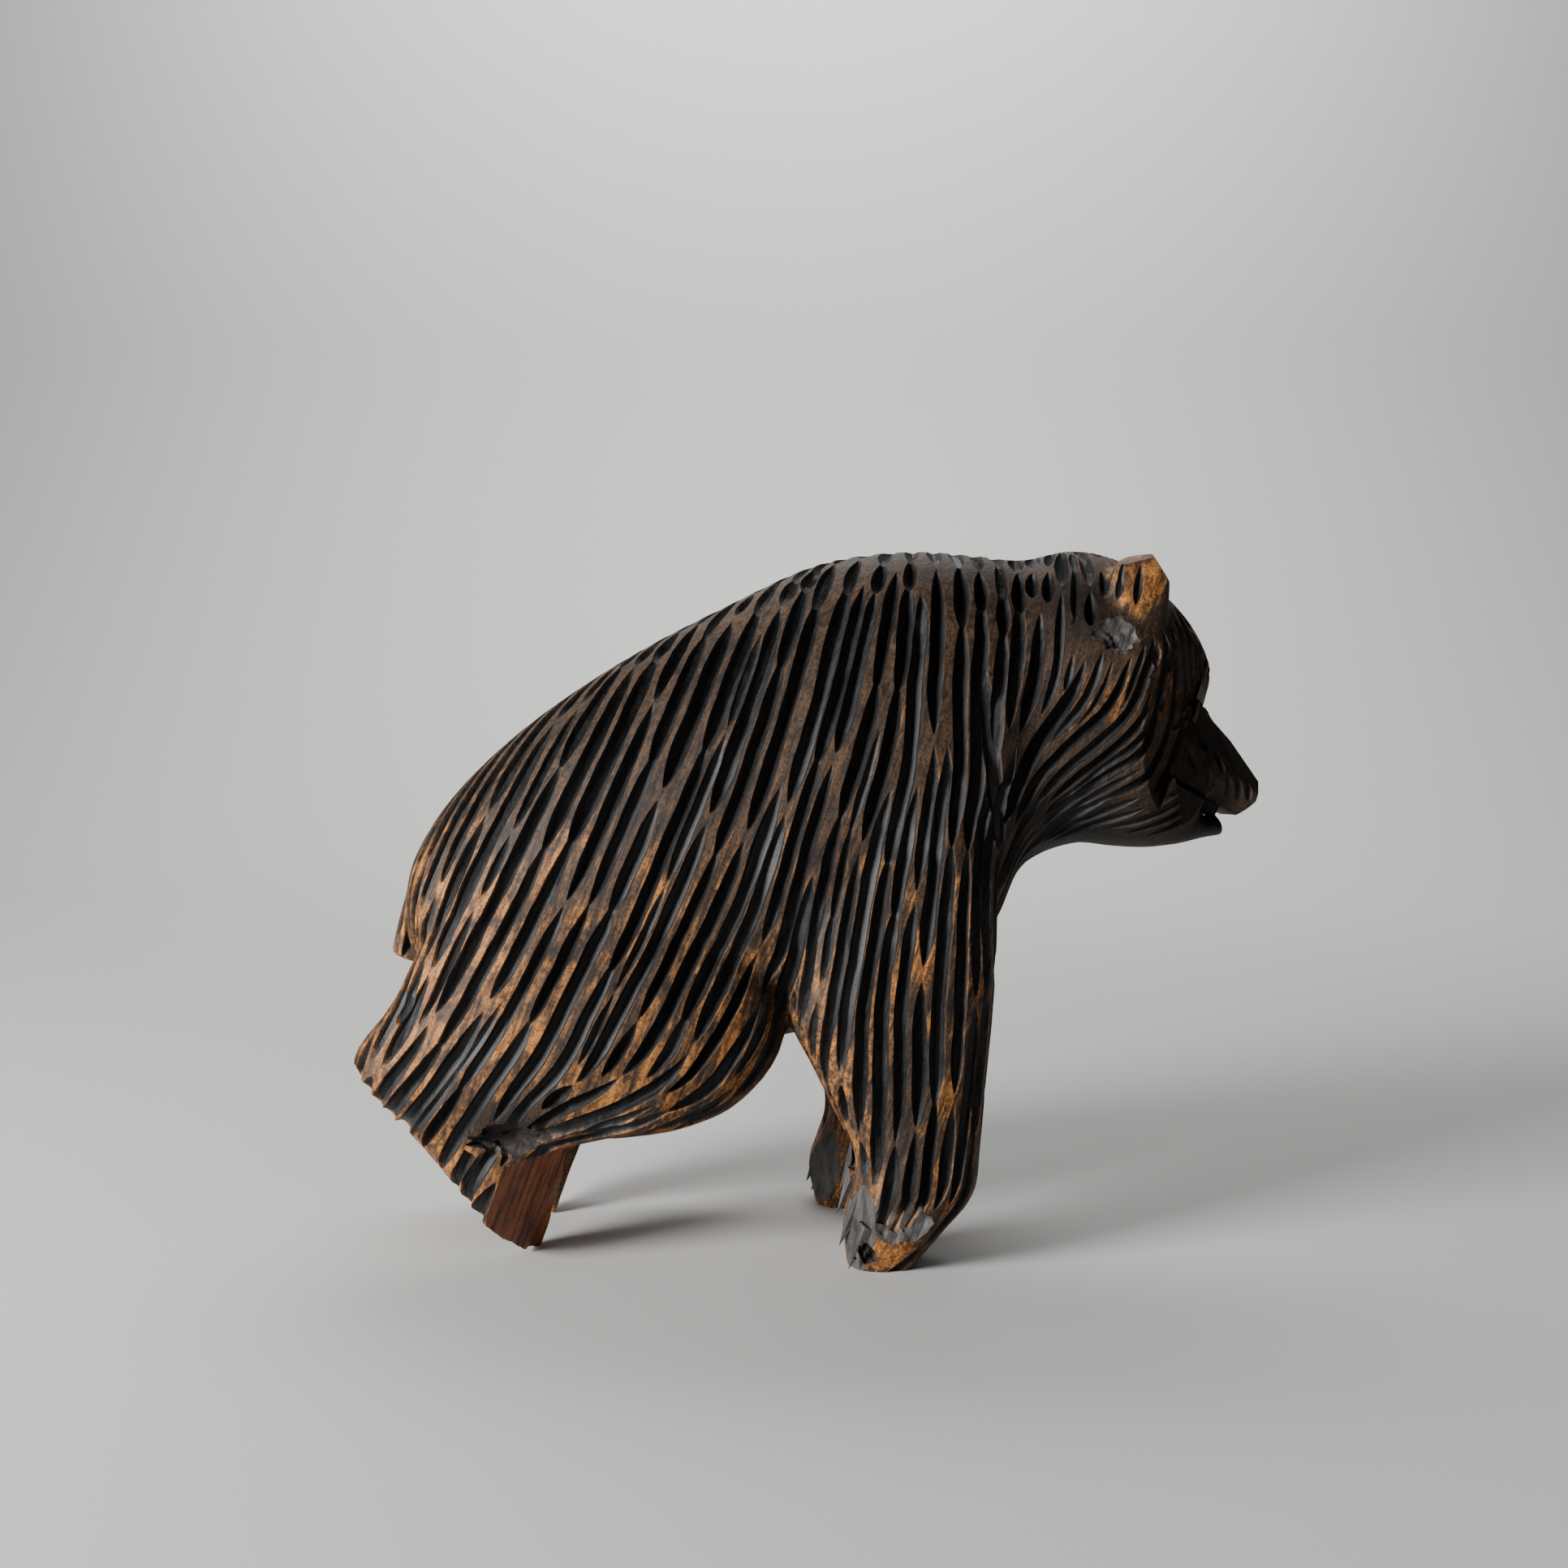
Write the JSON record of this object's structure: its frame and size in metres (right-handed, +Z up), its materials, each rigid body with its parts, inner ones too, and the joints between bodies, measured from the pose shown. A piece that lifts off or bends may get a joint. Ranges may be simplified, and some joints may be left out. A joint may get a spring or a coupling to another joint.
{
  "type": "wooden bear figurine",
  "caption": "Carved wooden bear on all fours with gouged fur, an open mouth and split hind toes, a free-standing ornament for a shelf or table.",
  "frame": {"origin": "on the floor under the middle of the bear's bounding box", "axes": "+X towards the nose, +Y to the bear's left, +Z up"},
  "size_m": [0.2306, 0.0924, 0.1788],
  "materials": {
    "bear_wood": "dark stained gouge-carved wood, worn to bare wood on the ridges, with raw split wood on the hind feet"
  },
  "bodies": {
    "root": {"bear": "bear_wood"}
  },
  "joints": []
}
